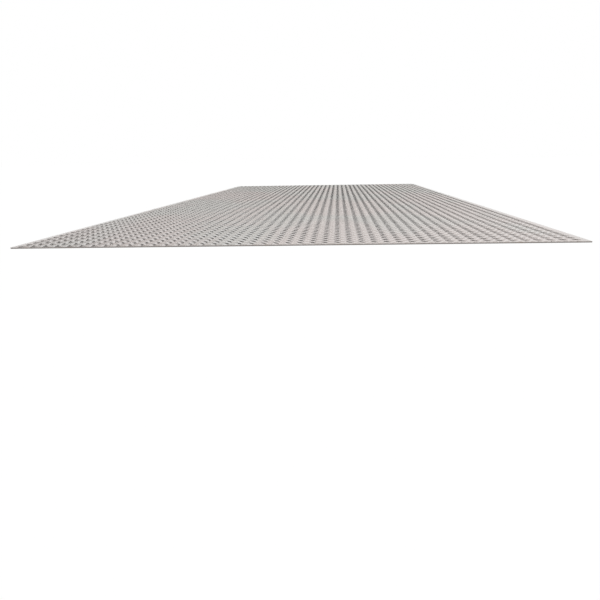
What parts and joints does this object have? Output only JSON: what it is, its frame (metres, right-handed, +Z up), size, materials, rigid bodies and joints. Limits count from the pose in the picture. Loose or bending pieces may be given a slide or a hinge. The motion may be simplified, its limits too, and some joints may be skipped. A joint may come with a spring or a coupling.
{
  "type": "checker steel plate",
  "caption": "Flat rectangular hot-rolled steel sheet with rounded mill edges, sheared ends and raised lens-shaped lugs in two leans on its upper face.",
  "frame": {"origin": "centre of the plain underside, which lies on the floor", "axes": "+X across the sheet between its two mill edges, +Y along the rolling direction between its two sheared ends, +Z up out of the lugged face"},
  "size_m": [1.25, 2.5, 0.0042],
  "materials": {
    "mill_steel": "hot-rolled, pickled grey, dull sheen with brighter worn crests"
  },
  "bodies": {
    "root": {"plate": "mill_steel"}
  },
  "joints": []
}
